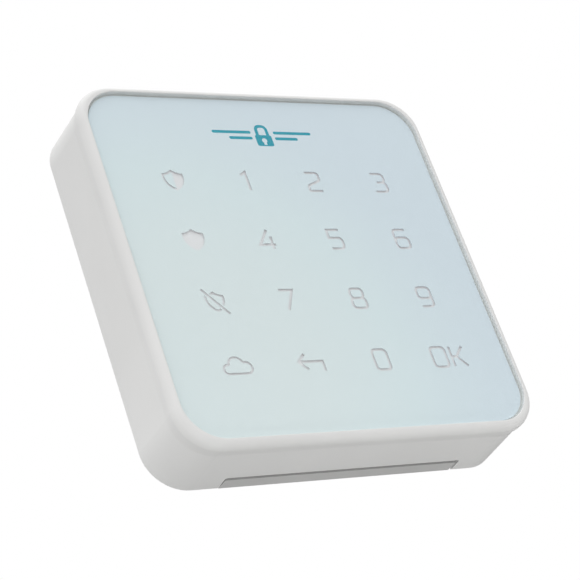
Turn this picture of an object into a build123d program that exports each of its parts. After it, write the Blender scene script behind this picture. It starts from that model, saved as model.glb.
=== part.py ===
"""Wall-mounted wireless alarm keypad with a glass touch front.

Frame: X to the right as seen from the front, Y into the wall, Z up. The back plane lies on y = 0 and the
origin is at its centre. Depths are measured from the wall towards the viewer, so depth d is y = -d.
All sizes are in millimetres.
"""

from build123d import *
from math import radians, sin, sqrt
import os

# ---- front housing -------------------------------------------------------------------------------------
housing_width = 104.4
housing_height = 105.8
housing_corner_r = 10.8
total_depth = 22.2
wall_gap = 0.4  # the housing's back edge stands this far off the wall
wall_thickness = 2.0
wall_lean = 0.45  # how far the side walls lean in between the back edge and the bead
bead_width = 1.75  # the front bead's rounding, seen from the front
bead_depth = 2.7  # and seen from the side
bead_step = 3.2  # length of the curve that joins the leaning wall to the proud bead
rim_width = 2.0  # from the housing's side to the recess for the glass
back_edge_r = 0.35
rim_inner_r = 0.2
ledge_width = 3.4
ledge_thickness = 1.5

# ---- glass stack, from the front -----------------------------------------------------------------------
glass_recess = 0.4  # the glass lies this far below the rim
glass_gap = 0.2
glass_corner_r = 10.0
glass_thickness = 0.8
glass_edge_r = 0.3
print_thickness = 0.15
print_margin = 0.35  # clear border between the print and the glass's edge
tape_thickness = 0.25
tape_margin = 0.3
diffuser_air_gap = 0.35
diffuser_thickness = 0.5

# ---- legends -------------------------------------------------------------------------------------------
key_shift_x = 0.4  # the legends, keys and mark lie slightly right of the middle
key_margin_side = 18.65  # from the glass's edges to the outer keys' centres
key_margin_top = 26.75
key_margin_bottom = 19.75
key_rows = 4
key_columns = 4
digit_height = 5.85  # between stroke centres
digit_width = 3.95
digit_stroke = 0.75
icon_stroke = 0.62
shield_width = 6.0
shield_height = 6.5
slash_gap = 0.4
mark_margin_top = 11.8  # from the glass's top edge to the mark's centre
mark_width = 30.4
mark_height = 7.0
mark_stroke = 0.95

# ---- key board -----------------------------------------------------------------------------------------
light_frame_thickness = 2.2
light_wall_x = 4.4  # between neighbouring wells
light_wall_z = 3.8
light_well_r = 2.0
board_thickness = 1.6
board_wall_clearance = 0.35
board_post_r = 3.0
board_post_spacing_z = 40.0
board_screw_r = 1.1
board_screw_depth = 2.6
touch_pad_margin = 1.75  # from the light well's wall
touch_pad_hole_r = 1.6
touch_pad_thickness = 0.06
led_length = 1.6
led_width = 0.8
led_height = 0.7

# ---- rear cover ----------------------------------------------------------------------------------------
cover_back_depth = 2.9
cover_thickness = 1.5
cover_fit = 0.25
cover_post_r = 2.8
post_overlap = 0.3  # how far a post runs into the wall it stands against
cover_screw_r = 1.1
screw_clearance = 0.25
screw_head_r = 2.1
screw_head_height = 1.4
screw_length = 6.5
bay_hook_gap = 2.0  # from the bay's top to the hooks, left for the tilt
bay_wall = 1.2
bay_floor = 1.2

# ---- battery cells -------------------------------------------------------------------------------------
cell_count = 4
cell_r = 5.25
cell_length = 43.5
cell_button_r = 1.9
cell_button_length = 1.0
cell_spacing = 11.0
cell_depth = 8.35  # the cells' axes
cradle_clearance = 0.1
contact_thickness = 0.3
contact_width = 6.4
spring_reach = 3.4

# ---- wall plate ----------------------------------------------------------------------------------------
plate_thickness = 2.2
plate_gap = 0.45  # between the plate's edge and the housing's inside
plate_pocket_depth = 0.8
plate_pocket_size = 19.0
plate_pockets_per_side = 4
plate_rib = 3.0
plate_boss_margin = 2.5  # solid ring left round the wall holes and the tamper island
up_arrow_width = 9.0
up_arrow_height = 4.2
up_arrow_depth = 0.5
lip_x = 0.8  # the lip and its notch lie slightly right of the middle
lip_half_width = 34.3
lip_depth = 4.55
lip_thickness = 1.6
lip_inset = 0.25  # the lip's face lies this far inside the housing's bottom face
notch_side_gap = 0.5
notch_pry_gap = 0.75
notch_corner_r = 0.8
wall_hole_spacing = 60.0
wall_hole_r = 2.0
wall_sink_r = 3.5
hook_width = 10.0
hook_side_gap = 1.5  # from the battery bay to the hook
hook_drop = 10.4  # from the housing's top to the hooks' underside
hook_thickness = 2.0
hook_height = 4.8
hook_tongue_thickness = 1.0
hook_clearance = 1.8  # between the cover and the hook's tongue, which sets how far the housing tilts
hook_window_play = 1.8

# ---- tamper switch -------------------------------------------------------------------------------------
tamper_x = 0.0
tamper_rise = 14.4  # above the housing's bottom, as the other rises below
tamper_travel = 1.5
tamper_rest_gap = 0.3
tamper_head_r = 2.4
tamper_head_depth = 7.2
tamper_collar_r = 3.4
tamper_collar_thickness = 1.0
tamper_stem_r = 1.2
tamper_stem_length = 6.6
tamper_body_size = 7.4
tamper_body_height = 4.0
tamper_clearance = 0.35
tamper_spring_r = 2.0
tamper_spring_wire_r = 0.2
tamper_spring_turns = 5
tamper_island_r = 8.5
tamper_island_slot = 1.0
tamper_island_bridge = 50.0  # degrees left uncut on each side

# ---- power switch --------------------------------------------------------------------------------------
power_x = -30.0
power_rise = 12.9
power_travel = 2.0
power_body_length = 11.0
power_body_width = 5.6
power_body_height = 6.0
power_stem_length = 2.4
power_stem_width = 1.8
power_pad_length = 5.0
power_pad_width = 3.2
power_pad_back_depth = 3.2
power_pad_thickness = 2.6
power_clearance = 0.3

# ---- other parts on the board's back -------------------------------------------------------------------
sounder_x = 22.0
sounder_rise = 23.0
sounder_r = 6.0
sounder_height = 6.5
chip_x = -20.0
chip_rise = 23.0
chip_size = 10.0
chip_height = 1.4
radio_x = 30.0
radio_rise = 10.4
radio_width = 16.0
radio_height = 11.0
radio_thickness = 2.8
capacitor_r = 3.15
capacitor_height = 7.2
antenna_wire_r = 0.4
antenna_standoff = 2.4
antenna_length = 62.0
antenna_drop = 7.4  # from the housing's top

# ---- depths and places worked out from the sizes above -------------------------------------------------
half_width = housing_width / 2
half_height = housing_height / 2
corner_centre_x = half_width - housing_corner_r
corner_centre_z = half_height - housing_corner_r
bead_crest_depth = total_depth - bead_depth
bead_start_depth = bead_crest_depth - bead_step
glass_front_depth = total_depth - glass_recess
glass_back_depth = glass_front_depth - glass_thickness
print_back_depth = glass_back_depth - print_thickness
ledge_front_depth = print_back_depth - tape_thickness
ledge_back_depth = ledge_front_depth - ledge_thickness
diffuser_front_depth = print_back_depth - diffuser_air_gap
light_frame_front_depth = diffuser_front_depth - diffuser_thickness
board_front_depth = light_frame_front_depth - light_frame_thickness
board_back_depth = board_front_depth - board_thickness
cover_front_depth = cover_back_depth + cover_thickness
opening_half_width = half_width - rim_width - ledge_width
opening_half_height = half_height - rim_width - ledge_width
opening_corner_r = housing_corner_r - rim_width - ledge_width
glass_width = housing_width - 2 * (rim_width + glass_gap)
glass_height = housing_height - 2 * (rim_width + glass_gap)
key_pitch_x = (glass_width - 2 * key_margin_side) / (key_columns - 1)
key_pitch_z = (glass_height - key_margin_top - key_margin_bottom) / (key_rows - 1)
key_grid_drop = (key_margin_top - key_margin_bottom) / 2
mark_rise = glass_height / 2 - mark_margin_top
light_well_width = key_pitch_x - light_wall_x
light_well_height = key_pitch_z - light_wall_z
touch_pad_r = min(light_well_width, light_well_height) / 2 - touch_pad_margin
inner_half_width = half_width - wall_thickness - wall_lean
inner_half_height = half_height - wall_thickness - wall_lean
inner_corner_r = housing_corner_r - wall_thickness - wall_lean
back_inset = wall_thickness + 0.5 * wall_lean
cover_post_offset = (inner_corner_r + post_overlap - cover_post_r) / sqrt(2)
cover_post_x = corner_centre_x + cover_post_offset
cover_post_z = corner_centre_z + cover_post_offset
board_post_x = inner_half_width + post_overlap - board_post_r
board_post_z = board_post_spacing_z / 2
bay_floor_back_depth = cell_depth + cell_r + cradle_clearance
bay_front_depth = bay_floor_back_depth + bay_floor
bay_half_length = (cell_length + cell_button_length + spring_reach) / 2 + contact_thickness
bay_half_height = (cell_spacing * (cell_count - 1)) / 2 + cell_r + 2 * cradle_clearance
hook_base_z = half_height - hook_drop
hook_offset_x = bay_half_length + bay_wall + hook_side_gap + hook_width / 2
bay_centre_z = hook_base_z - bay_hook_gap - bay_half_height - bay_wall
tamper_z = tamper_rise - half_height
power_z = power_rise - half_height
sounder_z = sounder_rise - half_height
chip_z = chip_rise - half_height
radio_z = radio_rise - half_height
antenna_z = half_height - antenna_drop
notch_depth = lip_depth + notch_pry_gap
notch_half_width = lip_half_width + notch_side_gap
lip_bottom_z = -half_height + lip_inset
hook_tongue_depth = cover_front_depth + hook_clearance
hook_tip_z = hook_base_z + hook_height
up_arrow_side = sqrt(up_arrow_height**2 + (up_arrow_width / 2) ** 2)
tamper_tip_depth = plate_thickness + tamper_rest_gap
tamper_body_depth = board_back_depth - tamper_body_height
power_body_depth = board_back_depth - power_body_height


# ---- small helpers -------------------------------------------------------------------------------------
def depth_plane(depth):
    """Plane parallel to the wall, drawn on in X and Z, and facing the viewer."""
    return Plane(origin=(0, -depth, 0), x_dir=(1, 0, 0), z_dir=(0, -1, 0))


def plate_between(outline, back_depth, front_depth):
    """Flat outline in X and Z, made solid between two depths."""
    return extrude(depth_plane(back_depth) * outline, amount=front_depth - back_depth)


def block(x, z, width, height, back_depth, front_depth, corner_r=0.0):
    """Box centred on x and z, with upright corners rounded if asked."""
    outline = RectangleRounded(width, height, corner_r) if corner_r else Rectangle(width, height)
    return plate_between(Pos(x, z) * outline, back_depth, front_depth)


def disc(x, z, radius, back_depth, front_depth):
    return plate_between(Pos(x, z) * Circle(radius), back_depth, front_depth)


def group(solids):
    """Several separate solids kept in one node."""
    return Compound(children=list(solids))


def four_corners(x, z):
    return [(sx * x, sz * z) for sx in (-1, 1) for sz in (-1, 1)]


def key_places():
    """Centres of the touch keys, row by row from the top left."""
    places = []
    for row in range(key_rows):
        for column in range(key_columns):
            x = (column - (key_columns - 1) / 2) * key_pitch_x + key_shift_x
            z = ((key_rows - 1) / 2 - row) * key_pitch_z - key_grid_drop
            places.append((x, z))
    return places


# ---- housing -------------------------------------------------------------------------------------------
def housing_path():
    """The housing's back outline, which its wall section follows."""
    with BuildLine(Plane.XZ) as path:
        for quarter in range(4):
            sx = (1, -1, -1, 1)[quarter]
            sz = (1, 1, -1, -1)[quarter]
            CenterArc((sx * corner_centre_x, sz * corner_centre_z), housing_corner_r, 90 * quarter, 90)
        for side in (-1, 1):
            Line((side * half_width, -corner_centre_z), (side * half_width, corner_centre_z))
            Line((-corner_centre_x, side * half_height), (corner_centre_x, side * half_height))
    return path.wire()


def housing_section():
    """Section of wall and bead at the right side, solid in front of the ledge."""
    outer_back = (half_width, -wall_gap)
    outer_front = (half_width - wall_lean, -bead_start_depth)
    crest = (half_width, -bead_crest_depth)
    bead_centre = (half_width - bead_width, -bead_crest_depth)
    bead_end = (half_width - bead_width, -total_depth)
    front_tip = (opening_half_width, -total_depth)
    ledge_under = (opening_half_width, -ledge_back_depth)
    wall_root = (inner_half_width, -ledge_back_depth)
    inner_back = (half_width - wall_thickness, -wall_gap)
    with BuildSketch() as section:
        with BuildLine():
            Line(outer_back, outer_front)
            Spline(outer_front, crest, tangents=((0, -1), (0, -1)))
            EllipticalCenterArc(bead_centre, bead_width, bead_depth, start_angle=-90, arc_size=90)
            Polyline(bead_end, front_tip, ledge_under, wall_root, inner_back, outer_back)
        make_face()
        fillet(section.vertices().sort_by_distance(outer_back)[0], back_edge_r)
    return section.sketch


def cover_post_places():
    return four_corners(cover_post_x, cover_post_z)


def board_post_places():
    return four_corners(board_post_x, board_post_z)


def glass_recess_cut():
    """The recess that the glass lies in, down to the ledge."""
    return plate_between(glass_outline(-glass_gap), ledge_front_depth, total_depth)


def front_housing():
    shell = sweep(housing_section(), path=housing_path()) - glass_recess_cut()
    rim_face = shell.faces().filter_by(Axis.Y).sort_by(Axis.Y)[0]
    shell = fillet(rim_face.inner_wires()[0].edges(), rim_inner_r)
    for x, z in cover_post_places():
        shell += disc(x, z, cover_post_r, cover_front_depth, ledge_back_depth + post_overlap)
    for x, z in board_post_places():
        shell += disc(x, z, board_post_r, board_front_depth, ledge_front_depth)
    for x, z in cover_post_places():
        shell -= disc(x, z, cover_screw_r, cover_front_depth, cover_front_depth + screw_length)
    for x, z in board_post_places():
        shell -= disc(x, z, board_screw_r, board_front_depth, board_front_depth + board_screw_depth)
    notch = plate_between(
        Pos(lip_x, -half_height) * Rectangle(2 * notch_half_width, 2 * (wall_thickness + wall_lean) + 1),
        0,
        notch_depth,
    )
    notch = fillet(notch.edges().filter_by(Axis.Z).group_by(Axis.Y)[0], notch_corner_r)
    return shell - notch


# ---- legends -------------------------------------------------------------------------------------------
def stroke_line(points, corner_r=0.0, width=digit_stroke):
    """One pen stroke through the points, with its inner corners rounded."""
    line = FilletPolyline(*points, radius=corner_r) if corner_r else Polyline(*points)
    return trace(line, line_width=width)


def ring(width, height, corner_r, stroke=digit_stroke):
    outer = RectangleRounded(width + stroke, height + stroke, corner_r + stroke / 2)
    return outer - RectangleRounded(width - stroke, height - stroke, corner_r - stroke / 2)


bowl_r = 1.1
top = digit_height / 2
right = digit_width / 2


def digit_zero():
    return ring(digit_width + 0.3, digit_height, bowl_r)


def digit_one():
    return stroke_line([(-0.9, top - 1.1), (0.75, top - 0.1), (0.75, -top)])


def digit_two():
    bend = stroke_line(
        [(-right, top), (right, top), (right, 0.5), (-right, -1.25), (-right, -top)], bowl_r * 0.75
    )
    return bend + stroke_line([(-right - digit_stroke / 2, -top), (right, -top)])


def digit_three():
    upper = stroke_line([(-right, top), (right - 0.1, top), (right - 0.1, 0.1), (-0.7, 0.1)], bowl_r)
    lower = stroke_line([(-0.7, 0.1), (right + 0.1, 0.1), (right + 0.1, -top), (-right, -top)], bowl_r)
    return upper + lower


def digit_four():
    arm = stroke_line([(0.8, top), (-right - 0.3, -1.6), (right + 0.4, -1.6)])
    return arm + stroke_line([(1.4, 0.9), (1.4, -top)])


def digit_five():
    bowl = stroke_line([(-right, 0.4), (right, 0.4), (right, -top), (-right, -top)], bowl_r)
    left = -right + 0.1
    return bowl + stroke_line([(right - 0.2, top), (left, top), (left, 0.4 - digit_stroke / 2)])


def digit_six():
    bowl = Pos(0, (0.4 - top) / 2) * ring(digit_width + 0.2, top + 0.4, bowl_r)
    left = -right - 0.1
    return bowl + stroke_line([(right - 0.2, top), (left, top), (left, -0.5)], bowl_r)


def digit_seven():
    return stroke_line([(-right, top), (right, top), (-0.75, -top)])


def digit_eight():
    upper = Pos(0, (top + 0.1) / 2) * ring(digit_width - 0.1, top - 0.1, bowl_r)
    return upper + Pos(0, (0.1 - top) / 2) * ring(digit_width + 0.3, top + 0.1, bowl_r)


def digit_nine():
    return Rot(0, 0, 180) * digit_six()


def letters_ok():
    round_letter = Pos(-2.9, 0) * ring(digit_width + 0.5, digit_height, bowl_r)
    stem_x = 0.95
    joint_x = 2.5
    stem = stroke_line([(stem_x, top), (stem_x, -top)])
    bar = stroke_line([(stem_x, 0), (joint_x, 0)])
    arms = stroke_line([(5.1, top), (joint_x, 0), (5.1, -top)])
    return round_letter + stem + bar + arms


def return_arrow():
    shaft = stroke_line([(-3.5, 0.3), (3.45, 0.3), (3.45, -2.5)])
    return shaft + stroke_line([(-1.3, 2.5), (-3.5, 0.3), (-1.3, -1.9)])


def cloud_outline():
    lobes = Pos(-2.65, -0.95) * Circle(1.6)
    lobes += Pos(-0.2, 0.3) * Circle(2.35)
    lobes += Pos(2.35, -0.65) * Circle(1.9)
    lobes += Pos(-0.15, -1.55) * Rectangle(5.0, 2.0)
    return lobes - offset(lobes, -icon_stroke)


def shield(width=shield_width, height=shield_height):
    """Heraldic shield: a middle peak, hollow shoulders and full sides that meet in a point."""
    peak = (0, height / 2)
    hollow = (0.25 * width, 0.36 * height)
    shoulder = (width / 2, 0.31 * height)
    flank = (0.42 * width, -0.16 * height)
    tip = (0, -height / 2)
    with BuildSketch() as half:
        with BuildLine():
            ThreePointArc(peak, hollow, shoulder)
            ThreePointArc(shoulder, flank, tip)
            Line(tip, peak)
        make_face()
    return half.sketch + mirror(half.sketch, about=Plane.YZ)


def shield_outline(width=shield_width, height=shield_height):
    whole = shield(width, height)
    return whole - offset(whole, -icon_stroke)


def half_shield():
    right_half = Pos(shield_width / 2, 0) * Rectangle(shield_width, 2 * shield_height)
    return shield_outline() + (shield() & right_half)


def crossed_shield():
    slash = Rot(0, 0, -50) * Rectangle(1.45 * shield_height, icon_stroke)
    gap = Rot(0, 0, -50) * Rectangle(2 * shield_height, icon_stroke + 2 * slash_gap)
    return (shield_outline(shield_width - 0.6, shield_height - 0.5) - gap) + slash


def key_legends():
    """The sixteen legend shapes at their keys, in the order of key_places."""
    shapes = [half_shield, digit_one, digit_two, digit_three]
    shapes += [shield, digit_four, digit_five, digit_six]
    shapes += [crossed_shield, digit_seven, digit_eight, digit_nine]
    shapes += [cloud_outline, return_arrow, digit_zero, letters_ok]
    return [Pos(x, z) * shape() for (x, z), shape in zip(key_places(), shapes)]


def mark_shape():
    """Generic mark: a padlock between two pairs of bars."""
    body_height = 0.52 * mark_height
    body_width = 0.72 * mark_height
    body_z = (body_height - mark_height) / 2
    keyhole_foot = Rectangle(0.12 * mark_height, 0.2 * mark_height)
    keyhole = Circle(0.11 * mark_height) + Pos(0, -0.1 * mark_height) * keyhole_foot
    body = Pos(0, body_z) * RectangleRounded(body_width, body_height, 0.09 * mark_height)
    shackle_r = (0.5 * body_width) - mark_stroke
    shackle_top = mark_height / 2 - mark_stroke / 2
    legs = [(-shackle_r, body_z), (-shackle_r, shackle_top), (shackle_r, shackle_top), (shackle_r, body_z)]
    lock = body - Pos(0, body_z) * keyhole + stroke_line(legs, 0.8 * shackle_r, mark_stroke)
    gap = body_width / 2 + mark_stroke
    long_bar = mark_width / 2 - gap
    short_bar = 0.6 * long_bar
    for side in (-1, 1):
        for z, length in ((mark_stroke, long_bar), (-mark_stroke, short_bar)):
            bar = RectangleRounded(length, mark_stroke, 0.45 * mark_stroke)
            lock += Pos(side * (gap + length / 2), z) * bar
    return Pos(key_shift_x, mark_rise) * lock


# ---- glass stack ---------------------------------------------------------------------------------------
def glass_outline(inset=0.0):
    return RectangleRounded(glass_width - 2 * inset, glass_height - 2 * inset, glass_corner_r - inset)


def glass_panel():
    pane = plate_between(glass_outline(), glass_back_depth, glass_front_depth)
    return chamfer(pane.faces().sort_by(Axis.Y)[0].edges(), glass_edge_r)


def legend_print():
    outline = glass_outline(print_margin) - mark_shape()
    for legend in key_legends():
        outline -= legend
    return plate_between(outline, print_back_depth, glass_back_depth)


def mark_print():
    return plate_between(mark_shape(), print_back_depth, glass_back_depth)


def bonding_tape():
    opening = RectangleRounded(2 * opening_half_width, 2 * opening_half_height, opening_corner_r)
    return plate_between(glass_outline(tape_margin) - opening, ledge_front_depth, print_back_depth)


def inside_outline():
    """Outline that fits the ledge's opening and clears the housing's posts, with a gap all round."""
    width = 2 * (opening_half_width - cover_fit)
    height = 2 * (opening_half_height - cover_fit)
    outline = RectangleRounded(width, height, opening_corner_r - cover_fit)
    for x, z in board_post_places():
        outline -= Pos(x, z) * Circle(board_post_r + cover_fit)
    for x, z in cover_post_places():
        outline -= Pos(x, z) * Circle(cover_post_r + cover_fit)
    return outline


def diffuser_sheet():
    return plate_between(inside_outline(), light_frame_front_depth, diffuser_front_depth)


def light_frame():
    outline = inside_outline()
    for x, z in key_places():
        outline -= Pos(x, z) * RectangleRounded(light_well_width, light_well_height, light_well_r)
    frame = plate_between(outline, board_front_depth, light_frame_front_depth)
    top_well_z = (key_places()[0][1] + light_well_height / 2 + opening_half_height) / 2
    well_front = light_frame_front_depth - 1.0
    well = block(0, top_well_z, mark_width, mark_height, board_front_depth, well_front, 1.0)
    return frame - well


# ---- key board -----------------------------------------------------------------------------------------
def board_outline():
    """Board outline with its corners cut off clear of the cover posts."""
    half_w = inner_half_width - board_wall_clearance
    half_h = inner_half_height - board_wall_clearance
    post_reach = sqrt(2) * cover_post_offset - cover_post_r - 2 * board_wall_clearance
    cut = (half_w - corner_centre_x) + (half_h - corner_centre_z) - sqrt(2) * post_reach
    return chamfer(Rectangle(2 * half_w, 2 * half_h).vertices(), cut)


def key_board():
    board = plate_between(board_outline(), board_back_depth, board_front_depth)
    for x, z in board_post_places():
        board -= disc(x, z, board_screw_r + screw_clearance, board_back_depth, board_front_depth)
    return board


def touch_pads():
    pads = []
    for x, z in key_places():
        pad = Pos(x, z) * (Circle(touch_pad_r) - Circle(touch_pad_hole_r))
        pads.append(plate_between(pad, board_front_depth, board_front_depth + touch_pad_thickness))
    return group(pads)


def key_lights():
    lights = []
    for x, z in key_places():
        lights.append(block(x, z, led_length, led_width, board_front_depth, board_front_depth + led_height))
    return group(lights)


def controller_chip():
    """Flat square package with a row of feet on each side."""
    chip_back = board_back_depth - chip_height
    body = block(chip_x, chip_z, chip_size, chip_size, chip_back, board_back_depth - 0.1)
    feet_per_side = 11
    foot_pitch = 0.8
    foot = chip_size / 2 + 0.4
    for index in range(feet_per_side):
        along = (index - (feet_per_side - 1) / 2) * foot_pitch
        for side in (-1, 1):
            for x, z in ((along, side * foot), (side * foot, along)):
                width, height = (0.4, 1.2) if z == side * foot else (1.2, 0.4)
                body += block(
                    chip_x + x, chip_z + z, width, height, board_back_depth - 0.5, board_back_depth
                )
    return body


def radio_module():
    """Small carrier board with a shield can."""
    carrier = block(radio_x, radio_z, radio_width, radio_height, board_back_depth - 0.8, board_back_depth)
    can = block(
        radio_x - 1.5,
        radio_z,
        radio_width - 4.5,
        radio_height - 1.2,
        board_back_depth - radio_thickness,
        board_back_depth - 0.8,
        0.6,
    )
    return carrier + can


def sounder():
    """Round sounder can with its sound hole towards the back."""
    back = board_back_depth - sounder_height
    can = disc(sounder_x, sounder_z, sounder_r, back, board_back_depth)
    can = fillet(can.faces().sort_by(Axis.Y)[-1].edges(), 0.5)
    return can - disc(sounder_x, sounder_z, 1.0, back, back + 1.5)


def board_capacitors():
    """Two round capacitors on square bases."""
    cans = []
    for x in (-2.0, 6.5):
        back = board_back_depth - capacitor_height
        can = disc(x, chip_z, capacitor_r, back, board_back_depth - 1.0)
        can = fillet(can.faces().sort_by(Axis.Y)[-1].edges(), 0.4)
        base_size = 2.1 * capacitor_r
        base = block(x, chip_z, base_size, base_size, board_back_depth - 1.0, board_back_depth)
        cans.append(can + base)
    return group(cans)


def small_board_parts():
    """Resistors and ceramic capacitors round the controller chip."""
    parts = []
    for index in range(5):
        x = chip_x - 3.0 + 3.0 * index
        parts.append(block(x, chip_z - 9.0, 1.0, 2.0, board_back_depth - 0.6, board_back_depth))
    for index in range(5):
        z = chip_z - 5.0 + 2.6 * index
        parts.append(block(chip_x - 10.0, z, 2.0, 1.0, board_back_depth - 0.6, board_back_depth))
    for index in range(4):
        z = radio_z + 9.0 + 2.6 * index
        parts.append(block(radio_x + 8.0, z, 2.0, 1.2, board_back_depth - 0.8, board_back_depth))
    return group(parts)


def antenna_wire():
    """Straight quarter-wave wire held off the board by two bent legs."""
    depth = board_back_depth - antenna_standoff
    ends = (-antenna_length / 2, antenna_length / 2)
    points = [(ends[0], -board_back_depth, antenna_z), (ends[0], -depth, antenna_z)]
    points += [(ends[1], -depth, antenna_z), (ends[1], -board_back_depth, antenna_z)]
    path = FilletPolyline(*points, radius=3 * antenna_wire_r)
    start = Plane(origin=points[0], z_dir=(0, 1, 0))
    return sweep(start * Circle(antenna_wire_r), path=path)


# ---- screws --------------------------------------------------------------------------------------------
def pan_screw(x, z, seat_depth):
    """Cross-recessed screw driven in from the back, with its head on seat_depth."""
    head_back = seat_depth - screw_head_height
    head = disc(x, z, screw_head_r, head_back, seat_depth)
    head = fillet(head.faces().sort_by(Axis.Y)[-1].edges(), 0.45)
    cross = Rectangle(2.2, 0.5) + Rectangle(0.5, 2.2)
    head -= plate_between(Pos(x, z) * cross, head_back, head_back + 0.7)
    return head


def board_screws():
    screws = []
    for x, z in board_post_places():
        shank = disc(x, z, board_screw_r, board_back_depth, board_front_depth + board_screw_depth - 0.4)
        screws.append(pan_screw(x, z, board_back_depth) + shank)
    return group(screws)


def cover_screws():
    seat = cover_back_depth + screw_head_height
    screws = []
    for x, z in cover_post_places():
        shank = disc(x, z, cover_screw_r, seat, cover_front_depth + screw_length - 0.4)
        screws.append(pan_screw(x, z, seat) + shank)
    return group(screws)


# ---- tamper switch -------------------------------------------------------------------------------------
def tamper_switch():
    front = board_back_depth
    body = block(tamper_x, tamper_z, tamper_body_size, tamper_body_size, tamper_body_depth, front, 0.6)
    well_r = tamper_stem_r + 0.1
    return body - disc(tamper_x, tamper_z, well_r, tamper_body_depth, front - 0.6)


def tamper_plunger():
    collar_back = tamper_head_depth - tamper_collar_thickness
    head = disc(tamper_x, tamper_z, tamper_head_r, tamper_tip_depth, collar_back)
    head = fillet(head.faces().sort_by(Axis.Y)[-1].edges(), 0.8)
    collar = disc(tamper_x, tamper_z, tamper_collar_r, collar_back, tamper_head_depth)
    stem_tip = tamper_head_depth + tamper_stem_length
    stem = disc(tamper_x, tamper_z, tamper_stem_r, tamper_head_depth, stem_tip)
    return head + collar + stem


def tamper_spring():
    """Round-wire coil between the plunger's collar and the switch body."""
    length = tamper_body_depth - tamper_head_depth - 2 * tamper_spring_wire_r
    start_depth = tamper_head_depth + tamper_spring_wire_r
    coil = Helix(pitch=length / tamper_spring_turns, height=length, radius=tamper_spring_r)
    wire_section = Plane(coil @ 0, z_dir=coil % 0) * Circle(tamper_spring_wire_r)
    spring = sweep(wire_section, path=coil)
    return depth_plane(start_depth) * Pos(tamper_x, tamper_z, 0) * spring


# ---- power switch --------------------------------------------------------------------------------------
def power_switch():
    body = block(
        power_x, power_z, power_body_length, power_body_width, power_body_depth, board_back_depth, 0.5
    )
    slot_length = power_stem_length + power_travel + 2 * power_clearance
    slot = block(
        power_x + power_travel / 2,
        power_z,
        slot_length,
        power_stem_width + 2 * power_clearance,
        power_body_depth,
        power_body_depth + 2.4,
    )
    return body - slot


def power_slider():
    """Stem in the switch and a ribbed thumb pad in the cover's slot."""
    pad_front = power_pad_back_depth + power_pad_thickness
    pad = block(power_x, power_z, power_pad_length, power_pad_width, power_pad_back_depth, pad_front, 0.6)
    for index in range(-2, 3):
        groove_x = power_x + 0.9 * index
        groove_front = power_pad_back_depth + 0.4
        pad -= block(groove_x, power_z, 0.4, power_pad_width, power_pad_back_depth, groove_front)
    stem_front = power_body_depth + 2.4 - power_clearance
    return pad + block(power_x, power_z, power_stem_length, power_stem_width, pad_front, stem_front)


# ---- battery cells and contacts ------------------------------------------------------------------------
def cell_places():
    """Height of each cell and the side its button points to."""
    places = []
    for index in range(cell_count):
        z = bay_centre_z + (index - (cell_count - 1) / 2) * cell_spacing
        places.append((z, 1 if index % 2 else -1))
    return places


def rod(z, radius, x_from, x_to):
    """Round bar along X at the cells' depth."""
    start = Plane(origin=(min(x_from, x_to), -cell_depth, z), z_dir=(1, 0, 0))
    return extrude(start * Circle(radius), amount=abs(x_to - x_from))


def battery_cell(z, side):
    button_tip = side * (bay_half_length - contact_thickness)
    shoulder = button_tip - side * cell_button_length
    can = rod(z, cell_r, shoulder, shoulder - side * cell_length)
    can = fillet(can.edges().filter_by(GeomType.CIRCLE), 0.5)
    return can + rod(z, cell_button_r, shoulder, button_tip)


def contact_tail(x, z, side):
    """Tail of an end contact, through the bay's floor to the board."""
    centre_x = x - side * contact_thickness / 2
    return block(centre_x, z, contact_thickness, 2.0, cell_depth, board_back_depth)


def battery_contacts():
    """Flat plate behind each button, and a bowed leaf behind each cell's base."""
    pieces = []
    plate_back = cell_depth - contact_width / 2
    plate_front = cell_depth + contact_width / 2
    for index, (z, side) in enumerate(cell_places()):
        for end in (side, -side):
            wall_x = end * bay_half_length
            centre_x = wall_x - end * contact_thickness / 2
            plate = block(centre_x, z, contact_thickness, contact_width, plate_back, plate_front)
            if end == -side:
                reach = spring_reach + contact_thickness
                leaf_tip = wall_x - end * reach
                bow_x = leaf_tip + end * contact_thickness / 2
                with BuildLine() as bow:
                    ThreePointArc((centre_x, z - 2.6), (bow_x, z), (centre_x, z + 2.6))
                leaf = trace(bow.line, line_width=contact_thickness)
                plate += plate_between(leaf, cell_depth - 1.6, cell_depth + 1.6)
            first_or_last = (index == 0 and end == side) or (index == cell_count - 1 and end == -side)
            if first_or_last:
                plate += contact_tail(wall_x, z, end)
            pieces.append(plate)
    return group(pieces)


# ---- rear cover ----------------------------------------------------------------------------------------
def cover_outline():
    width = 2 * (half_width - back_inset - cover_fit)
    height = 2 * (half_height - back_inset - cover_fit)
    return RectangleRounded(width, height, housing_corner_r - back_inset - cover_fit)


def hook_window():
    """Opening in the cover for one hook, with room for the tilt."""
    window_bottom = hook_base_z - hook_window_play
    window_top = hook_base_z + hook_thickness + 1.4
    height = window_top - window_bottom
    return Pos(0, window_bottom + height / 2) * Rectangle(hook_width + 2 * notch_side_gap, height)


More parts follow.
